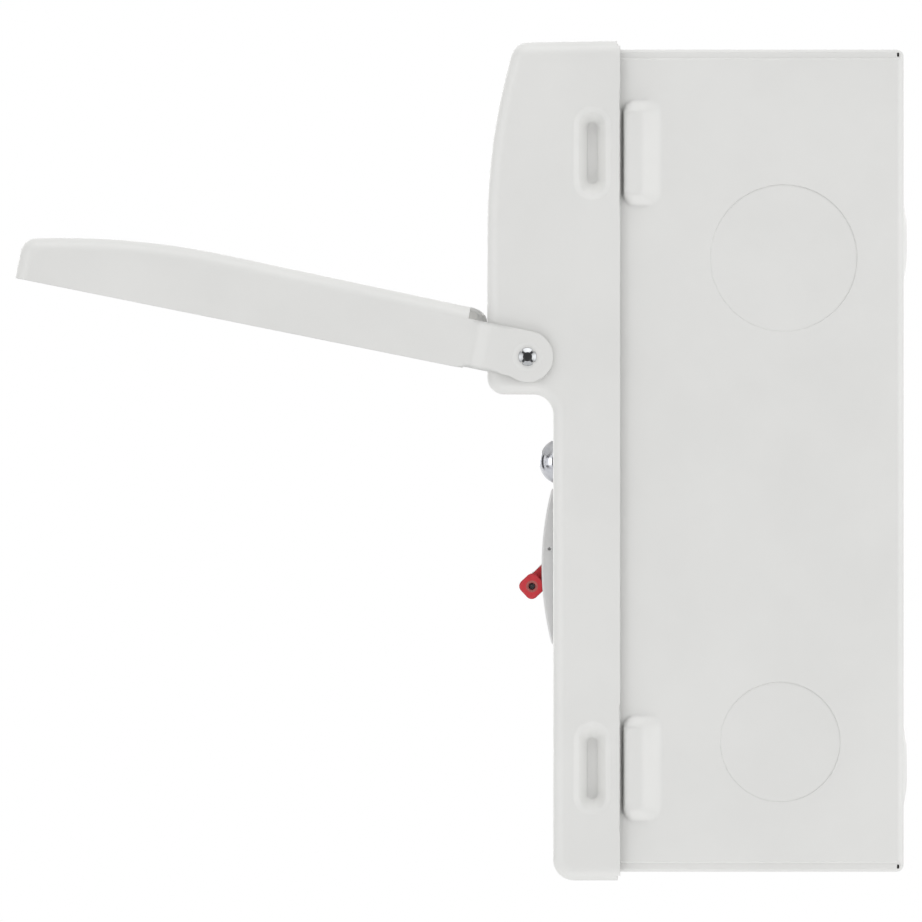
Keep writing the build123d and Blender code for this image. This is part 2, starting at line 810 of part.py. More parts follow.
# Screws that hold the rail on its brackets
with BuildPart() as rail_screws:
    web_front = rail_back_depth + rail_sheet
    with BuildSketch(front_plane(web_front)):
        for side in sides:
            with Locations((side * rail_screw_x, device_z)):
                small_shaft(rail_screw_head_diameter)
    extrude(amount=rail_screw_head_height)
    with BuildSketch(front_plane(web_front)):
        for side in sides:
            with Locations((side * rail_screw_x, device_z)):
                small_shaft(rail_screw_diameter)
    extrude(amount=-rail_screw_length)
write(rail_screws, "rail_screws")


def pivot_plane(x_mid):
    """Plane at a device's toggle pivot: local x points forward and local y up."""
    return Plane(origin=(x_mid, -toggle_pivot_depth, toggle_pivot_z), x_dir=(0, -1, 0), z_dir=(-1, 0, 0))


def device_case(x_mid, modules, poles, drum_width):
    """Moulded case of a modular device, with its toggle slot, rail hook and terminal pockets."""
    width = modules * module_pitch - device_gap
    half_height = device_height / 2
    half_nose = nose_height / 2
    half_rail = rail_height / 2
    off = radians(toggle_off_angle)
    slot_side = lever_thickness / 2 + lever_clearance
    foot_x = -slot_side * sin(off)
    foot_y = slot_side * cos(off)
    end_x = foot_x + slot_reach * cos(off)
    end_y = foot_y + slot_reach * sin(off)
    drum_half = drum_width / 2 + drum_clearance
    with BuildPart() as case:
        with BuildSketch(section_plane(x_mid, device_z)) as profile:
            with BuildLine():
                ThreePointArc(
                    (nose_edge_depth, -half_nose), (nose_crest_depth, 0), (nose_edge_depth, half_nose)
                )
                Polyline(
                    (nose_edge_depth, half_nose),
                    (device_shoulder_depth, half_nose),
                    (device_shoulder_depth, half_height),
                    (device_back_depth, half_height),
                    (device_back_depth, -half_height),
                    (device_shoulder_depth, -half_height),
                    (device_shoulder_depth, -half_nose),
                    (nose_edge_depth, -half_nose),
                )
            make_face()
            for end in ends:
                nose_corner = (nose_edge_depth, end * half_nose)
                front_corner = (device_shoulder_depth, end * half_height)
                back_corner = (device_back_depth, end * half_height)
                fillet(profile.vertices().sort_by_distance(nose_corner)[0], nose_corner_radius)
                chamfer(profile.vertices().sort_by_distance(front_corner)[0], device_corner)
                chamfer(profile.vertices().sort_by_distance(back_corner)[0], device_corner)
            with Locations((rail_front_depth, half_rail - hook_reach)):
                Rectangle(
                    2 * hook_lip,
                    rail_height - hook_reach + hook_clearance,
                    align=(Align.MAX, Align.MAX),
                    mode=Mode.SUBTRACT,
                )
            with Locations((rail_front_depth, half_rail + hook_clearance)):
                Rectangle(
                    rail_sheet + hook_clearance,
                    hook_reach + 2 * hook_clearance,
                    align=(Align.MAX, Align.MAX),
                    mode=Mode.SUBTRACT,
                )
        extrude(amount=width / 2, both=True)
        nose_arcs = case.edges().filter_by(GeomType.CIRCLE).sort_by(SortBy.RADIUS)[-2:]
        chamfer(nose_arcs, nose_edge_chamfer)

        with BuildSketch(pivot_plane(x_mid)):
            Circle(drum_radius + drum_clearance)
            with BuildLine():
                Polyline((foot_x, -foot_y), (end_x, -end_y), (end_x, end_y), (foot_x, foot_y), close=True)
            make_face()
        extrude(amount=drum_half, both=True, mode=Mode.SUBTRACT)

        channel_top_z = device_z - half_rail
        with BuildSketch(front_plane(device_back_depth)):
            with Locations((x_mid, channel_top_z)):
                Rectangle(
                    clip_width + 2 * hook_clearance, device_height, align=(Align.CENTER, Align.MAX)
                )
        extrude(amount=clip_thickness + hook_clearance, mode=Mode.SUBTRACT)

        for end in ends:
            with BuildSketch(level_plane(device_z + end * half_height)):
                for pole in poles:
                    with Locations((pole, -terminal_depth)):
                        Rectangle(cage_width + 2 * cage_clearance, cage_thickness + 2 * cage_clearance)
            extrude(amount=-end * (cage_height + cage_recess), mode=Mode.SUBTRACT)
        with BuildSketch(front_plane(device_shoulder_depth)):
            for pole in poles:
                for end in ends:
                    with Locations((pole, device_z + end * terminal_screw_offset)):
                        small_hole(terminal_access_diameter)
        extrude(amount=terminal_depth - device_shoulder_depth, mode=Mode.SUBTRACT)
    return case


def device_toggle(x_mid, drum_width, bar_width, bar_size, bar_radius, bar_reach):
    """Toggle in its OFF position: drum that turns in the case, lever and end bar."""
    off = radians(toggle_off_angle)
    lever_plane = Plane(
        origin=(x_mid, -toggle_pivot_depth, toggle_pivot_z),
        x_dir=(0, -cos(off), -sin(off)),
        z_dir=(-1, 0, 0),
    )
    with BuildPart() as toggle:
        with BuildSketch(lever_plane):
            Circle(drum_radius)
            with Locations((bar_reach / 2, 0)):
                Rectangle(bar_reach, lever_thickness)
        extrude(amount=drum_width / 2, both=True)
        with BuildSketch(lever_plane):
            with Locations((bar_reach, 0)):
                RectangleRounded(bar_size, bar_size, bar_radius)
        extrude(amount=bar_width / 2, both=True)
    return toggle


def device_clip(x_mid):
    """Spring-held clip that hooks behind the lower edge of the rail."""
    clip_top = -rail_height / 2 + hook_reach
    clip_bottom = -device_height / 2 - clip_tail
    with BuildPart() as clip:
        with BuildSketch(front_plane(device_back_depth)):
            with Locations((x_mid, device_z + clip_top)):
                Rectangle(clip_width, clip_top - clip_bottom, align=(Align.CENTER, Align.MAX))
            with Locations((x_mid, device_z + clip_bottom + clip_tail / 2)):
                Rectangle(clip_tail_slot_width, clip_tail_slot_height, mode=Mode.SUBTRACT)
        extrude(amount=clip_thickness)
    return clip


def terminal_cages(poles):
    """Clamp cages in the top and bottom pockets of each pole."""
    cage_middle = device_height / 2 - cage_recess - cage_height / 2
    with BuildPart() as cages:
        for end in ends:
            with BuildSketch(level_plane(device_z + end * cage_middle)):
                for pole in poles:
                    with Locations((pole, -terminal_depth)):
                        Rectangle(cage_width, cage_thickness)
                        Rectangle(
                            cage_width - 2 * cage_wall, cage_thickness - 2 * cage_wall, mode=Mode.SUBTRACT
                        )
            extrude(amount=cage_height / 2, both=True)
        with BuildSketch(front_plane(cage_front_depth)):
            for pole in poles:
                for end in ends:
                    with Locations((pole, device_z + end * terminal_screw_offset)):
                        small_hole(terminal_screw_diameter + 2 * screw_fit)
        extrude(amount=-cage_thickness / 2, mode=Mode.SUBTRACT)
    return cages


def terminal_screws(poles):
    """Clamp screws of each pole, driven down to a conductor's thickness."""
    with BuildPart() as screws:
        with BuildSketch(front_plane(clamp_depth + bar_thickness)):
            for pole in poles:
                for end in ends:
                    with Locations((pole, device_z + end * terminal_screw_offset)):
                        small_shaft(terminal_screw_diameter)
        extrude(amount=terminal_screw_length)
        with BuildSketch(front_plane(clamp_depth + bar_thickness + terminal_screw_length)):
            for pole in poles:
                for end in ends:
                    with Locations((pole, device_z + end * terminal_screw_offset)):
                        Rectangle(terminal_screw_diameter, terminal_slot_width)
        extrude(amount=-terminal_slot_depth, mode=Mode.SUBTRACT)
    return screws


# Main switch at the right end of the row
switch_bar_depth = toggle_pivot_depth + switch_bar_reach * cos(radians(toggle_off_angle))
switch_bar_z = toggle_pivot_z - switch_bar_reach * sin(radians(toggle_off_angle))
bar_corner_span = sin(radians(toggle_off_angle)) + cos(radians(toggle_off_angle))
bar_half_span = (switch_bar_size / 2 - switch_bar_radius) * bar_corner_span + switch_bar_radius
plain_case = device_case(switch_x, switch_modules, switch_poles, switch_drum_width)
with BuildPart() as main_switch_case:
    add(plain_case.part)
    with BuildSketch(front_plane(switch_bar_depth - bar_half_span - bar_seat_clearance)):
        with Locations((switch_x, switch_bar_z)):
            Rectangle(
                switch_bar_width + 2 * bar_seat_clearance, 2 * (bar_half_span + bar_seat_clearance)
            )
    extrude(amount=nose_height, mode=Mode.SUBTRACT)
    switch_side = switch_x + (switch_modules * module_pitch - device_gap) / 2
    with BuildSketch(side_plane(1, switch_side)):
        with Locations(on_side(1, nose_crest_depth - switch_pip_setback, toggle_pivot_z)):
            Circle(switch_pip_diameter / 2)
    extrude(amount=-switch_pip_depth, mode=Mode.SUBTRACT)
write(main_switch_case, "main_switch_case")

plain_toggle = device_toggle(
    switch_x, switch_drum_width, switch_bar_width, switch_bar_size, switch_bar_radius, switch_bar_reach
)
with BuildPart() as main_switch_toggle:
    add(plain_toggle.part)
    for side in sides:
        bar_end_plane = Plane(
            origin=(switch_x + side * switch_bar_width / 2, -switch_bar_depth, switch_bar_z),
            x_dir=(0, side, 0),
            z_dir=(side, 0, 0),
        )
        with BuildSketch(bar_end_plane):
            Circle(switch_bar_hole_diameter / 2)
        extrude(amount=-switch_bar_hole_depth, mode=Mode.SUBTRACT)
write(main_switch_toggle, "main_switch_toggle")
write(device_clip(switch_x), "main_switch_clip")
write(terminal_cages(switch_poles), "main_switch_terminals")
write(terminal_screws(switch_poles), "main_switch_screws")

# Row of breakers
for number, x_mid in enumerate(breaker_x, start=1):
    write(device_case(x_mid, 1, [x_mid], breaker_drum_width), f"breaker_{number}_case")
    breaker_toggle = device_toggle(
        x_mid,
        breaker_drum_width,
        breaker_drum_width,
        breaker_paddle_size,
        breaker_paddle_radius,
        breaker_paddle_reach,
    )
    write(breaker_toggle, f"breaker_{number}_toggle")
    write(device_clip(x_mid), f"breaker_{number}_clip")
write(terminal_cages(breaker_x), "breaker_terminals")
write(terminal_screws(breaker_x), "breaker_screws")

# Copper comb from the switched live pole to every breaker
comb_x = breaker_x + switch_poles[:1]
comb_left = comb_x[0] - finger_width / 2
comb_right = comb_x[-1] + finger_width / 2
comb_top_z = device_z - device_height / 2 - bar_drop
with BuildPart() as busbar:
    with BuildSketch(front_plane(clamp_depth)):
        with Locations((comb_left, comb_top_z)):
            Rectangle(comb_right - comb_left, bar_height, align=(Align.MIN, Align.MAX))
        for x in comb_x:
            with Locations((x, comb_top_z - bar_height / 2)):
                Rectangle(
                    finger_width,
                    bar_height / 2 + bar_drop + finger_insertion,
                    align=(Align.CENTER, Align.MIN),
                )
    extrude(amount=bar_thickness)
write(busbar, "busbar")

with BuildPart() as busbar_shroud:
    shroud_left = comb_left - shroud_end
    shroud_length = comb_right + shroud_end - shroud_left
    shroud_middle = clamp_depth + bar_thickness / 2
    with BuildSketch(Plane(origin=(shroud_left, 0, comb_top_z), x_dir=(0, 1, 0), z_dir=(1, 0, 0))):
        with Locations((-shroud_middle, 0)):
            Rectangle(
                bar_thickness + 2 * shroud_wall, bar_height + shroud_wall, align=(Align.CENTER, Align.MAX)
            )
            Rectangle(bar_thickness, bar_height, align=(Align.CENTER, Align.MAX), mode=Mode.SUBTRACT)
    extrude(amount=shroud_length)
write(busbar_shroud, "busbar_shroud")

# Neutral bar on insulating posts at the right, earth bar on hexagonal stand-offs at the left
bar_front_depth = bar_middle_depth + bar_section_depth / 2
bar_back_depth = bar_middle_depth - bar_section_depth / 2


def terminal_bar(side):
    """Drilled brass bar: cable holes up through it and clamp screws from the front."""
    with BuildPart() as bar:
        with BuildSketch(front_plane(bar_back_depth)):
            with Locations((side * bar_centre_x, bar_z)):
                Rectangle(bar_length, bar_section_height)
            with Locations(*[(side * x, bar_z) for x in bar_fixing_x]):
                small_hole(bar_screw_diameter + 2 * screw_fit, mode=Mode.SUBTRACT)
        extrude(amount=bar_section_depth)
        with BuildSketch(level_plane(bar_z)):
            with Locations(*[(side * x, -bar_middle_depth) for x in bar_terminal_x]):
                small_hole(bar_hole_diameter)
        extrude(amount=bar_section_height, both=True, mode=Mode.SUBTRACT)
        with BuildSketch(front_plane(bar_middle_depth)):
            with Locations(*[(side * x, bar_z) for x in bar_terminal_x]):
                small_hole(bar_screw_diameter + 2 * screw_fit)
        extrude(amount=bar_section_depth, mode=Mode.SUBTRACT)
    return bar


def terminal_bar_screws(side):
    """Clamp screws of a bar, and the two screws that hold it on its posts."""
    clamp_length = bar_section_depth / 2 - core_diameter / 2 + bar_screw_height
    fixings = [(side * x, bar_z) for x in bar_fixing_x]
    with BuildPart() as screws:
        with BuildSketch(front_plane(bar_front_depth + bar_screw_height)):
            with Locations(*[(side * x, bar_z) for x in bar_terminal_x]):
                small_shaft(bar_screw_diameter)
        extrude(amount=-clamp_length)
        with BuildSketch(front_plane(bar_front_depth)):
            with Locations(*fixings):
                small_shaft(bar_fixing_head_diameter)
        extrude(amount=bar_screw_height)
        with BuildSketch(front_plane(bar_front_depth)):
            with Locations(*fixings):
                small_shaft(bar_screw_diameter)
        extrude(amount=-bar_section_depth - bar_screw_grip)
    return screws


with BuildPart() as neutral_bar_posts:
    with BuildSketch(front_plane(panel_depth)):
        with Locations(*[(x, bar_z) for x in bar_fixing_x]):
            Rectangle(post_size, post_size)
    extrude(amount=bar_back_depth - panel_depth)
    chamfer(neutral_bar_posts.edges().filter_by(Axis.Y), post_chamfer)
    with BuildSketch(front_plane(bar_back_depth)):
        with Locations(*[(x, bar_z) for x in bar_fixing_x]):
            small_hole(bar_screw_diameter + 2 * screw_fit)
    extrude(amount=-bar_screw_grip - screw_fit, mode=Mode.SUBTRACT)

with BuildPart() as earth_bar_posts:
    with BuildSketch(front_plane(panel_depth)):
        with Locations(*[(-x, bar_z) for x in bar_fixing_x]):
            RegularPolygon(standoff_across_flats / 2, standoff_sides, major_radius=False)
    extrude(amount=bar_back_depth - panel_depth)
    with BuildSketch(front_plane(bar_back_depth)):
        with Locations(*[(-x, bar_z) for x in bar_fixing_x]):
            small_hole(bar_screw_diameter + 2 * screw_fit)
    extrude(amount=-bar_screw_grip - screw_fit, mode=Mode.SUBTRACT)

write(terminal_bar(1), "neutral_bar")
write(terminal_bar_screws(1), "neutral_bar_screws")
write(neutral_bar_posts, "neutral_bar_posts")
write(terminal_bar(-1), "earth_bar")
write(terminal_bar_screws(-1), "earth_bar_screws")
write(earth_bar_posts, "earth_bar_posts")

# Insulated link from the switched neutral pole, round below the row and up to the neutral bar
link_x = bar_terminal_x[0]
link_clamp_depth = clamp_depth + bar_thickness / 2
link_start_z = device_z - device_height / 2 - link_start_gap
link_low_z = link_start_z - link_drop
link_end_z = bar_z - bar_section_height / 2
link_points = [
    (switch_poles[1], -link_clamp_depth, link_start_z),
    (switch_poles[1], -link_clamp_depth, link_low_z),
    (link_x, -link_clamp_depth, link_low_z),
    (link_x, -link_clamp_depth, device_z + rail_height / 2),
    (link_x, -bar_middle_depth, link_end_z - link_lead_in),
    (link_x, -bar_middle_depth, link_end_z),
]
with BuildPart() as neutral_link:
    with BuildLine():
        FilletPolyline(*link_points, radius=link_bend_radius)
    with BuildSketch(level_plane(link_start_z)):
        with Locations(link_points[0][:2]):
            small_shaft(link_diameter)
    sweep()
write(neutral_link, "neutral_link")

# Bare ends of the link: flattened in the switch's clamp, round in the bar
with BuildPart() as neutral_link_cores:
    with BuildSketch(level_plane(link_start_z)):
        with Locations(link_points[0][:2]):
            Rectangle(core_blade_width, bar_thickness)
    extrude(amount=link_start_gap + finger_insertion)
    with BuildSketch(level_plane(link_end_z)):
        with Locations(link_points[-1][:2]):
            small_shaft(core_diameter)
    extrude(amount=bar_section_height)
write(neutral_link_cores, "neutral_link_cores")
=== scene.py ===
import bmesh
import bpy
import json
from itertools import product
from math import cos, pi, radians, sin
from mathutils import Matrix, Vector


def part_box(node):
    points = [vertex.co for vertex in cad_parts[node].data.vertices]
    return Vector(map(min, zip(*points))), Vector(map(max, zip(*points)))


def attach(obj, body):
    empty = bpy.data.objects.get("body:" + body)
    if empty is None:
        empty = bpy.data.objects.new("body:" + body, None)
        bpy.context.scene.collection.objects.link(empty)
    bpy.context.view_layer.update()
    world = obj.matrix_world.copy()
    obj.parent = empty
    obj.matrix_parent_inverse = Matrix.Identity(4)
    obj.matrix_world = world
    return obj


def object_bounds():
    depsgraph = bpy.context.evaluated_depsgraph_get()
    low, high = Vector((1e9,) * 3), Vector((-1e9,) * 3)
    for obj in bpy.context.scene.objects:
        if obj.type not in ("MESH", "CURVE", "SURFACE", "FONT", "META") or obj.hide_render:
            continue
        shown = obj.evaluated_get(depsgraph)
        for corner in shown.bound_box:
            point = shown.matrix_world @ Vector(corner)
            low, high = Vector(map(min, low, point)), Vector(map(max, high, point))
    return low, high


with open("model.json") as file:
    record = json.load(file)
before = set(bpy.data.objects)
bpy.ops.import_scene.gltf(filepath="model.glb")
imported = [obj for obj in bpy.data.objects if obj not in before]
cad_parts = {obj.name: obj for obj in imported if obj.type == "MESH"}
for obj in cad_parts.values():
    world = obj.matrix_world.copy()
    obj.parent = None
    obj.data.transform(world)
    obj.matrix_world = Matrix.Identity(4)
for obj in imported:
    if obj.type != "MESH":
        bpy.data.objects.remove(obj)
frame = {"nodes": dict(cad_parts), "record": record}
cad_low, cad_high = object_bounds()
nodes = frame["nodes"]
joints = {joint["name"]: joint for joint in frame["record"]["behaviour"]["joints"]}
hinge = Vector(joints["lid_hinge"]["pos_m"])
switch_pivot = Vector(joints["main_switch_throw"]["pos_m"])
middle = (cad_low + cad_high) / 2
box_low, box_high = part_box("back_box")
casing_middle_z = (box_low.z + box_high.z) / 2

# Photograph: seen from the unit's right side, 3.5 pixels to a millimetre at the near side. The camera stands
# in line with the open lid, so that the lid's far end stays hidden behind its near end.
PHOTO_WIDTH_PX = 922
PHOTO_PX_PER_M = 3500
VIEW_CENTRE_Y = -0.1275
VIEW_CENTRE_Z = 0.0124
NEAR_SIDE_X = 0.110
CAMERA_X = 12.0
CAMERA_Y = -0.065
CAMERA_Z = 0.033
SENSOR_MM = 36.0

# Radius of the softened edges of each finish
PAINT_EDGE = 0.0004
TURNED_EDGE = 0.00015
RIVET_EDGE = 0.00012
STRIP_EDGE = 0.0002
DRAWN_EDGE = 0.0002
MOULD_EDGE = 0.00025
BAR_EDGE = 0.0009

# Where the paint's edges are rounder: at the cover's dimples, the box's embosses and the joggles of the lid's
# arms. Dimples and embosses lie at the same distance above and below the casing's middle.
PRESSINGS = [
    {"middle_y": -0.0894, "reach_y": 0.0068, "edge": 0.0009},
    {"middle_y": -0.0757, "reach_y": 0.0064, "edge": 0.0026},
]
PRESSING_OFFSET_Z = 0.0879
PRESSING_REACH_Z = 0.018
PRESSING_FADE = 0.0005
JOGGLE_MIDDLE = 0.0140
JOGGLE_REACH = 0.0045
JOGGLE_EDGE = 0.0022

# Fine relief of the finishes: feature size, height and detail of each layer
ORANGE_PEEL = [(0.0016, 0.000006, 2.0), (0.0005, 0.000002, 1.0)]
TURNED_GRAIN = [(0.0004, 0.000004, 2.0)]
RIVET_GRAIN = [(0.0004, 0.000003, 2.0)]
STRIP_GRAIN = [(0.0006, 0.000004, 2.0)]
DRAWN_GRAIN = [(0.0005, 0.000004, 2.0)]
MOULD_GRAIN = [(0.0003, 0.000002, 2.0), (0.0025, 0.000004, 1.0)]
POLISHED = []

# Lowest and highest roughness of the plastics and the studio's cards
GLOSSY = (0.30, 0.42)
SATIN = (0.40, 0.52)
EGGSHELL = (0.42, 0.55)
MATT = (0.45, 0.55)
DULL = (0.80, 0.90)

# Detail of the noise behind a drift in tone or gloss, and the part of its range that the drift takes
TONE_DETAIL = 4.0
TONE_START = 0.35
TONE_END = 0.65
GLOSS_DETAIL = 3.0
GLOSS_START = 0.3
GLOSS_END = 0.7

# Sockets that share a name on their node and are told apart by number
MIX_FIRST_COLOUR = 6
MIX_SECOND_COLOUR = 7
MIX_COLOUR_RESULT = 2
FIRST_SHADER = 1
SECOND_SHADER = 2

# Hinge rivets: painted shade inside their bores, given the look of darker, rougher bare steel
RIVET_BORE_SHADE_RADIUS = 0.00134

# Toggles in their OFF position. The bores in the ends of the main switch's bar have a painted ring of
# shading, where their chamfer would catch the light, and a dark steel pin that stands in for the shade deep
# in the bore.
OFF_ANGLE = radians(43)
BAR_REACH = 0.0157
BAR_RING_MIDDLE = 0.00135
BAR_RING_REACH = 0.00025
BAR_RING_FADE = 0.0002
PIN_RADIUS = 0.00095
PIN_LENGTH = 0.006
PIN_SETBACK = 0.0008
PIN_CHAMFER = 0.00012
PIN_CHAMFER_STEPS = 2
PIN_SEGMENTS = 48

# Position marks on the toggles
LEVER_HALF = 0.0026
MARK_REACH = 0.0101
MARK_HEIGHT = 0.00006
MARK_SINK = 0.00004
RING_OUTER = 0.00125
RING_INNER = 0.00085
RING_SEGMENTS = 40
BAR_WIDTH = 0.00045
BAR_LENGTH = 0.0025

# Softboxes: four round the photographed side, for highlights along its edges and pressings, and a fill from
# the left. Each has a direction from the object's middle and a power in watts.
LAMP_DISTANCE = 1.7
LAMP_WIDTH = 1.7
LAMP_HEIGHT = 0.9
LAMP_LIFT = 0.55
SOFTBOXES = {
    "front_softbox": ((LAMP_LIFT, -1, 0), 4.9),
    "rear_softbox": ((LAMP_LIFT, 1, 0), 6.0),
    "top_softbox": ((LAMP_LIFT, 0, 1), 7.8),
    "bottom_softbox": ((LAMP_LIFT, 0, -1), 8.0),
    "left_softbox": ((-1, -0.15, 0.2), 9.0),
}

# Dark cards: each has a direction from the object's middle, a width and a height
CARD_DISTANCE = 1.9
CAMERA_CARD = ((1, 0, 0), 1.6, 1.6)
FRONT_CARDS = {
    "front_card": ((0.18, -1, 0), 0.65, 3.0),
    "left_front_card": ((-0.45, -1, 0), 0.6, 3.0),
}
CORNER_CARD_LIFT = 0.5
CORNER_CARD_SIZE = 1.0

# World: its strength as a source of light, and as the backdrop that is seen
AMBIENT = 0.71
BACKDROP = 1.0

# Floor
FLOOR_Z = -0.130
FLOOR_RADIUS = 0.45
FLOOR_FADE_START = 0.24
FLOOR_SEGMENTS = 96

# Direction of a toggle's lever in its OFF position, and the bore in the main switch's bar
lever = Vector((0, -cos(OFF_ANGLE), -sin(OFF_ANGLE)))
bar_bore = switch_pivot + BAR_REACH * lever


def srgb(red, green, blue):
    """Linear colour from the 0 to 255 values that a picture shows, by the standard sRGB curve."""
    def channel(value):
        part = value / 255
        return part / 12.92 if part <= 0.04045 else ((part + 0.055) / 1.055) ** 2.4
    return (channel(red), channel(green), channel(blue), 1.0)


class Finish:
    """A material under construction: its node tree, its shader and the place on the object."""

    def __init__(self, name):
        self.material = bpy.data.materials.new(name)
        self.material.use_nodes = True
        self.tree = self.material.node_tree
        self.shader = self.tree.nodes["Principled BSDF"]
        self.place = self.tree.nodes.new("ShaderNodeTexCoord").outputs["Object"]

    def feed(self, socket, value):
        """Give a socket a value or a link."""
        if isinstance(value, bpy.types.NodeSocket):
            self.tree.links.new(value, socket)
        else:
            socket.default_value = value

    def node(self, kind, **inputs):
        """Add a node and feed its inputs."""
        made = self.tree.nodes.new(kind)
        for name, value in inputs.items():
            self.feed(made.inputs[name.replace("_", " ")], value)
        return made

    def math(self, operation, *values):
        """Add a math node."""
        made = self.tree.nodes.new("ShaderNodeMath")
        made.operation = operation
        for socket, value in zip(made.inputs, values):
            self.feed(socket, value)
        return made.outputs["Value"]

    def noise(self, size, detail):
        """Noise whose features are about as large as a size in metres."""
        made = self.node("ShaderNodeTexNoise", Vector=self.place, Scale=1 / size, Detail=detail)
        return made.outputs["Fac"]

    def spread(self, value, from_low, from_high, low, high):
        """Map a value from one range to another, clamped."""
        made = self.node("ShaderNodeMapRange", Value=value, From_Min=from_low, From_Max=from_high)
        self.feed(made.inputs["To Min"], low)
        self.feed(made.inputs["To Max"], high)
        return made.outputs["Result"]

    def near(self, value, centre, reach, fade):
        """1 where a value lies within a reach of a centre, fading to 0 just outside."""
        off = self.math("ABSOLUTE", self.math("SUBTRACT", value, centre))
        return self.spread(off, reach, reach + fade, 1.0, 0.0)

    def mix(self, share, first, second):
        """Colour between two others."""
        made = self.tree.nodes.new("ShaderNodeMix")
        made.data_type = "RGBA"
        self.feed(made.inputs["Factor"], share)
        self.feed(made.inputs[MIX_FIRST_COLOUR], first)
        self.feed(made.inputs[MIX_SECOND_COLOUR], second)
        return made.outputs[MIX_COLOUR_RESULT]

    def blotches(self, size, low, high):
        """Colour that drifts between two tones."""
        ramp = self.node("ShaderNodeValToRGB", Fac=self.noise(size, TONE_DETAIL))
        start, end = ramp.color_ramp.elements
        start.position = TONE_START
        start.color = low
        end.position = TONE_END
        end.color = high
        return ramp.outputs["Color"]

    def gloss(self, size, low, high):
        """Roughness that drifts between two values."""
        return self.spread(self.noise(size, GLOSS_DETAIL), GLOSS_START, GLOSS_END, low, high)

    def reach_from_axis(self, point):
        """Distance from an axis that runs along X through a point."""
        place = self.node("ShaderNodeSeparateXYZ", Vector=self.place)
        off_y = self.math("SUBTRACT", place.outputs["Y"], point.y)
        off_z = self.math("SUBTRACT", place.outputs["Z"], point.z)
        squares = self.math("ADD", self.math("POWER", off_y, 2.0), self.math("POWER", off_z, 2.0))
        return self.math("SQRT", squares)

    def relief(self, edge_radius, layers):
        """Softened edges, then layers of fine relief: each has a feature size, a height and a detail."""
        normal = self.node("ShaderNodeBevel", Radius=edge_radius).outputs["Normal"]
        for size, height, detail in layers:
            grain = self.noise(size, detail)
            bump = self.node("ShaderNodeBump", Strength=1.0, Distance=height, Height=grain, Normal=normal)
            normal = bump.outputs["Normal"]
        return normal

    def finish(self, **inputs):
        """Feed the shader and hand over the material."""
        for name, value in inputs.items():
            self.feed(self.shader.inputs[name.replace("_", " ")], value)
        return self.material


def powder_coat():
    """Off-white satin powder coat with fine orange peel, rounder at the pressings and the lid's joggles."""
    paint = Finish("casing_paint")
    place = paint.node("ShaderNodeSeparateXYZ", Vector=paint.place)
    off_middle = paint.math("ABSOLUTE", paint.math("SUBTRACT", place.outputs["Z"], casing_middle_z))
    near_z = paint.near(off_middle, PRESSING_OFFSET_Z, PRESSING_REACH_Z, PRESSING_FADE)
    near_joggle = paint.near(paint.reach_from_axis(hinge), JOGGLE_MIDDLE, JOGGLE_REACH, PRESSING_FADE)
    edge = paint.spread(near_joggle, 0.0, 1.0, PAINT_EDGE, JOGGLE_EDGE)
    for pressing in PRESSINGS:
        near_y = paint.near(place.outputs["Y"], pressing["middle_y"], pressing["reach_y"], PRESSING_FADE)
        near_pressing = paint.math("MULTIPLY", near_z, near_y)
        rounder = paint.spread(near_pressing, 0.0, 1.0, PAINT_EDGE, pressing["edge"])
        edge = paint.math("MAXIMUM", edge, rounder)
    return paint.finish(
        Base_Color=paint.blotches(size=0.03, low=srgb(228, 228, 226), high=srgb(231, 231, 229)),
        Roughness=paint.gloss(size=0.004, low=0.38, high=0.46),
        Normal=paint.relief(edge, ORANGE_PEEL),
        Specular_IOR_Level=0.6,
    )


def bright_zinc():
    """Bright zinc plate on turned steel."""
    zinc = Finish("zinc_plate")
    return zinc.finish(
        Base_Color=zinc.blotches(size=0.002, low=(0.56, 0.57, 0.61, 1.0), high=(0.66, 0.67, 0.70, 1.0)),
        Roughness=zinc.gloss(size=0.0008, low=0.10, high=0.20),
        Normal=zinc.relief(TURNED_EDGE, TURNED_GRAIN),
        Metallic=1.0,
    )


def rivet_plate_and_bore_shade():
    """Polished plate on the hinge rivets, with painted shade in the bore: darker, rougher bare steel."""
    plate = Finish("rivet_plate_and_bore_shade")
    outside = plate.math("GREATER_THAN", plate.reach_from_axis(hinge), RIVET_BORE_SHADE_RADIUS)
    # Painted shade: inside the bore the colour is darker and the gloss lower than the plate.
    bore = (0.340, 0.340, 0.345, 1.0)
    polished = plate.blotches(size=0.001, low=(0.40, 0.41, 0.42, 1.0), high=(0.46, 0.47, 0.48, 1.0))
    return plate.finish(
        Base_Color=plate.mix(outside, bore, polished),
        Roughness=plate.spread(outside, 0.0, 1.0, low=0.55, high=0.28),
        Normal=plate.relief(RIVET_EDGE, RIVET_GRAIN),
        Metallic=1.0,
    )


def strip_steel():
    """Zinc-plated strip, duller than the turned pieces."""
    steel = Finish("rail_steel")
    return steel.finish(
        Base_Color=steel.blotches(size=0.004, low=(0.56, 0.57, 0.56, 1.0), high=(0.66, 0.67, 0.66, 1.0)),
        Roughness=steel.gloss(size=0.002, low=0.30, high=0.45),
        Normal=steel.relief(STRIP_EDGE, STRIP_GRAIN),
        Metallic=1.0,
    )


def moulding(name, low, high, roughness, grain=MOULD_GRAIN):
    """Moulded plastic, with a fine spark-eroded texture unless it comes from a polished mould."""
    plastic = Finish(name)
    rough_low, rough_high = roughness
    return plastic.finish(
        Base_Color=plastic.blotches(size=0.006, low=low, high=high),
        Roughness=plastic.gloss(size=0.001, low=rough_low, high=rough_high),
        Normal=plastic.relief(MOULD_EDGE, grain),
        Specular_IOR_Level=0.5,
    )


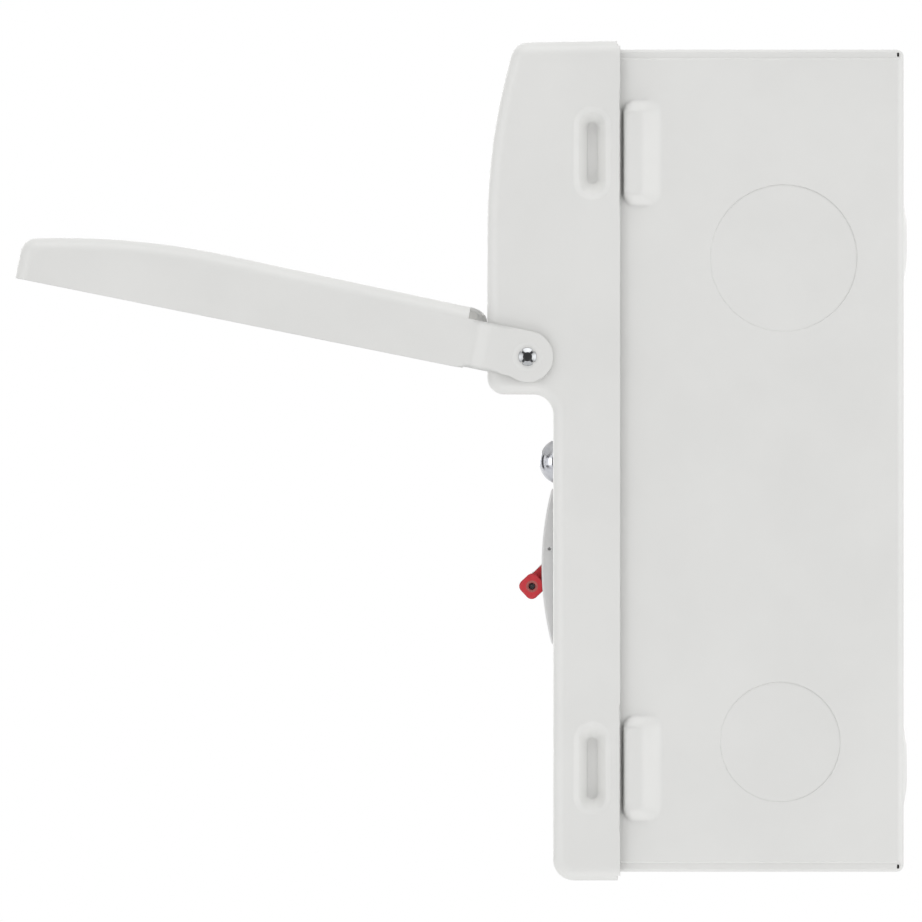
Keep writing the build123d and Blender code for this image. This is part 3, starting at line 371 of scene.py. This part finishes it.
def bar_red():
    """Red moulding of the main switch's toggle, with a painted ring of shading round its bar's bore, on the
    bore's chamfer.
    """
    red = Finish("switch_red")
    ring = red.near(red.reach_from_axis(bar_bore), BAR_RING_MIDDLE, BAR_RING_REACH, BAR_RING_FADE)
    plain = red.blotches(size=0.006, low=srgb(214, 64, 72), high=srgb(221, 72, 80))
    # Painted shading: a greyer red ring where the bore's chamfer would catch the light.
    chamfer_shading = srgb(186, 104, 100)
    return red.finish(
        Base_Color=red.mix(ring, plain, chamfer_shading),
        Roughness=red.gloss(size=0.001, low=0.34, high=0.46),
        Normal=red.relief(BAR_EDGE, POLISHED),
        Specular_IOR_Level=0.4,
    )


def bare_metal(name, low, high):
    """Drawn brass, copper or steel."""
    metal = Finish(name)
    return metal.finish(
        Base_Color=metal.blotches(size=0.003, low=low, high=high),
        Roughness=metal.gloss(size=0.001, low=0.22, high=0.36),
        Normal=metal.relief(DRAWN_EDGE, DRAWN_GRAIN),
        Metallic=1.0,
    )


finishes = {
    "casing_paint": powder_coat(),
    "zinc_plate": bright_zinc(),
    "rail_steel": strip_steel(),
    "device_plastic": moulding("device_plastic", srgb(222, 222, 222), srgb(226, 226, 226), EGGSHELL),
    "switch_red": bar_red(),
    "toggle_dark": moulding("toggle_dark", srgb(46, 46, 48), srgb(54, 54, 56), GLOSSY, POLISHED),
    "clip_plastic": moulding("clip_plastic", srgb(150, 150, 150), srgb(158, 158, 158), MATT),
    "brass": bare_metal("brass", (0.70, 0.52, 0.24, 1.0), (0.80, 0.62, 0.30, 1.0)),
    "copper": bare_metal("copper", (0.74, 0.38, 0.24, 1.0), (0.84, 0.46, 0.30, 1.0)),
    "shroud_grey": moulding("shroud_grey", srgb(98, 100, 102), srgb(106, 108, 110), MATT),
    "neutral_blue": moulding("neutral_blue", srgb(38, 84, 150), srgb(46, 94, 162), SATIN),
}
for row in frame["record"]["subparts"]:
    nodes[row["node"]].material_slots[0].material = finishes[row["material_slot"]]
nodes["hinge_rivets"].material_slots[0].material = rivet_plate_and_bore_shade()
mark_ink = moulding("mark_ink", srgb(228, 228, 226), srgb(234, 234, 232), MATT)


def mesh_object(name, build, material):
    """New object whose mesh is filled by a function."""
    shape = bmesh.new()
    build(shape)
    bmesh.ops.recalc_face_normals(shape, faces=shape.faces)
    mesh = bpy.data.meshes.new(name)
    shape.to_mesh(mesh)
    shape.free()
    mesh.materials.append(material)
    made = bpy.data.objects.new(name, mesh)
    bpy.context.scene.collection.objects.link(made)
    return made


def bar_pins(shape):
    """Dark steel pins in the bores at the two ends of the main switch's bar, which stand in for the shade
    deep in the bores.
    """
    low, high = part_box("main_switch_toggle")
    turn = Matrix.Rotation(pi / 2, 4, "Y")
    reach = PIN_SETBACK + PIN_LENGTH / 2
    for x in (low.x + reach, high.x - reach):
        bmesh.ops.create_cone(
            shape,
            cap_ends=True,
            segments=PIN_SEGMENTS,
            radius1=PIN_RADIUS,
            radius2=PIN_RADIUS,
            depth=PIN_LENGTH,
            matrix=Matrix.Translation((x, bar_bore.y, bar_bore.z)) @ turn,
        )
    caps = [face for face in shape.faces if len(face.verts) == PIN_SEGMENTS]
    rims = [edge for cap in caps for edge in cap.edges]
    bmesh.ops.bevel(shape, geom=rims, offset=PIN_CHAMFER, segments=PIN_CHAMFER_STEPS, affect="EDGES")


# Painted shade: the pins are dark steel that stands in for the shade deep in the bar's bores.
bore_shade_steel = bare_metal("bore_shade_pin_steel", (0.16, 0.16, 0.17, 1.0), (0.20, 0.20, 0.21, 1.0))
pins = mesh_object("main_switch_bar_shade_pins", bar_pins, bore_shade_steel)
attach(pins, "main_switch_toggle")


def flank(pivot, side):
    """Place on a toggle's lever in its OFF position: side 1 is the upper flank and -1 the lower one."""
    out = side * Vector((0, -sin(OFF_ANGLE), cos(OFF_ANGLE)))
    across = lever.cross(out)
    turn = Matrix((across, lever, out)).transposed().to_4x4()
    return Matrix.Translation(pivot + lever * MARK_REACH + out * LEVER_HALF) @ turn


def add_ring(shape, matrix):
    """Raised ring: the mark for OFF."""
    section = [
        (RING_OUTER, -MARK_SINK),
        (RING_OUTER, MARK_HEIGHT),
        (RING_INNER, MARK_HEIGHT),
        (RING_INNER, -MARK_SINK),
    ]
    rings = []
    for step in range(RING_SEGMENTS):
        angle = 2 * pi * step / RING_SEGMENTS
        corners = [matrix @ Vector((radius * cos(angle), radius * sin(angle), z)) for radius, z in section]
        rings.append([shape.verts.new(corner) for corner in corners])
    for one, other in zip(rings, rings[1:] + rings[:1]):
        for first in range(len(section)):
            second = (first + 1) % len(section)
            shape.faces.new((one[first], other[first], other[second], one[second]))


def add_bar(shape, matrix):
    """Raised bar: the mark for ON."""
    height = MARK_HEIGHT + MARK_SINK
    size = Matrix.Diagonal((BAR_WIDTH, BAR_LENGTH, height, 1.0))
    lift = Matrix.Translation((0, 0, height / 2 - MARK_SINK))
    bmesh.ops.create_cube(shape, size=1.0, matrix=matrix @ lift @ size)


def toggle_marks(device):
    """OFF and ON marks on the two flanks of a device's toggle."""
    pivot = Vector(joints[f"{device}_throw"]["pos_m"])

    def build(shape):
        add_ring(shape, flank(pivot, 1))
        add_bar(shape, flank(pivot, -1))

    marks = mesh_object(f"{device}_marks", build, mark_ink)
    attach(marks, f"{device}_toggle")


for name in joints:
    if name.endswith("_throw"):
        toggle_marks(name.removesuffix("_throw"))


def aim(thing, location, target):
    """Put a lamp, card or camera somewhere and point its -Z axis at a target."""
    thing.location = location
    thing.rotation_mode = "QUATERNION"
    thing.rotation_quaternion = (Vector(target) - Vector(location)).to_track_quat("-Z", "Y")


def softbox(name, direction, power):
    """Large area lamp that faces the object from a direction."""
    light = bpy.data.lights.new(name, "AREA")
    light.shape = "RECTANGLE"
    light.size = LAMP_WIDTH
    light.size_y = LAMP_HEIGHT
    light.energy = power
    lamp = bpy.data.objects.new(name, light)
    aim(lamp, middle + Vector(direction).normalized() * LAMP_DISTANCE, middle)
    lamp.visible_camera = False
    bpy.context.scene.collection.objects.link(lamp)


def dark_card(name, direction, width, height, material, shades=False):
    """Black studio card that shows in reflections only, or that shades the object too."""
    def build(shape):
        half_size = Matrix.Diagonal((width / 2, height / 2, 1.0, 1.0))
        bmesh.ops.create_grid(shape, x_segments=1, y_segments=1, size=1.0, matrix=half_size)

    card = mesh_object(name, build, material)
    aim(card, middle + Vector(direction).normalized() * CARD_DISTANCE, middle)
    card.visible_camera = False
    card.visible_diffuse = shades
    card.visible_transmission = False
    card.visible_shadow = shades


for name, (direction, power) in SOFTBOXES.items():
    softbox(name, direction, power)

card_black = moulding("card_black", srgb(30, 30, 32), srgb(36, 36, 38), DULL)
dark_card("camera_card", *CAMERA_CARD, card_black, shades=True)
for name, (direction, width, height) in FRONT_CARDS.items():
    dark_card(name, direction, width, height, card_black)
for number, (y, z) in enumerate(product((1, -1), repeat=2), start=1):
    direction = (CORNER_CARD_LIFT, y, z)
    dark_card(f"corner_card_{number}", direction, CORNER_CARD_SIZE, CORNER_CARD_SIZE, card_black)


def pale_floor():
    """Pale floor, which fades out at its rim and isn't seen from below."""
    floor = Finish("pale_floor")
    reach = floor.node("ShaderNodeVectorMath", Vector=floor.place)
    reach.operation = "LENGTH"
    rim = floor.spread(reach.outputs["Value"], FLOOR_FADE_START, FLOOR_RADIUS, 0.0, 1.0)
    below = floor.node("ShaderNodeNewGeometry").outputs["Backfacing"]
    clear = floor.node("ShaderNodeBsdfTransparent")
    blend = floor.node("ShaderNodeMixShader", Fac=floor.math("MAXIMUM", rim, below))
    material = floor.finish(
        Base_Color=floor.blotches(size=0.05, low=srgb(250, 250, 250), high=srgb(253, 253, 253)),
        Roughness=floor.gloss(size=0.01, low=0.7, high=0.8),
    )
    floor.feed(blend.inputs[FIRST_SHADER], floor.shader.outputs["BSDF"])
    floor.feed(blend.inputs[SECOND_SHADER], clear.outputs["BSDF"])
    floor.feed(floor.tree.nodes["Material Output"].inputs["Surface"], blend.outputs["Shader"])
    return material


def floor_disc(shape):
    """Round sheet of floor."""
    bmesh.ops.create_circle(shape, cap_ends=True, segments=FLOOR_SEGMENTS, radius=FLOOR_RADIUS)


ground = mesh_object("floor", floor_disc, pale_floor())
ground.location = (middle.x, middle.y, FLOOR_Z)
ground.visible_shadow = False
ground.visible_diffuse = False


def studio_world():
    """World that is white to the eye, in reflections and through glass, and softer as a source of light."""
    world = bpy.data.worlds.new("studio")
    world.use_nodes = True
    sky = world.node_tree
    sky.nodes.clear()

    def either(first, second):
        """1 for a ray of either kind."""
        made = sky.nodes.new("ShaderNodeMath")
        made.operation = "MAXIMUM"
        sky.links.new(first, made.inputs[0])
        sky.links.new(second, made.inputs[1])
        return made.outputs["Value"]

    def background(strength):
        """White light of a strength from all round."""
        made = sky.nodes.new("ShaderNodeBackground")
        made.inputs["Color"].default_value = (1.0, 1.0, 1.0, 1.0)
        made.inputs["Strength"].default_value = strength
        return made.outputs["Background"]

    rays = sky.nodes.new("ShaderNodeLightPath").outputs
    seen = either(rays["Is Camera Ray"], rays["Is Glossy Ray"])
    choice = sky.nodes.new("ShaderNodeMixShader")
    sky.links.new(either(seen, rays["Is Transmission Ray"]), choice.inputs["Fac"])
    sky.links.new(background(AMBIENT), choice.inputs[FIRST_SHADER])
    sky.links.new(background(BACKDROP), choice.inputs[SECOND_SHADER])
    output = sky.nodes.new("ShaderNodeOutputWorld")
    sky.links.new(choice.outputs["Shader"], output.inputs["Surface"])
    return world


bpy.context.scene.world = studio_world()

# Camera
camera_data = bpy.data.cameras.new("camera")
camera_data.sensor_width = SENSOR_MM
camera_data.lens = SENSOR_MM * (CAMERA_X - NEAR_SIDE_X) * PHOTO_PX_PER_M / PHOTO_WIDTH_PX
camera_data.clip_end = 2 * CAMERA_X
camera = bpy.data.objects.new("camera", camera_data)
aim(camera, (CAMERA_X, CAMERA_Y, CAMERA_Z), (NEAR_SIDE_X, VIEW_CENTRE_Y, VIEW_CENTRE_Z))
bpy.context.scene.collection.objects.link(camera)
bpy.context.scene.camera = camera
bpy.context.scene.view_settings.view_transform = "Standard"
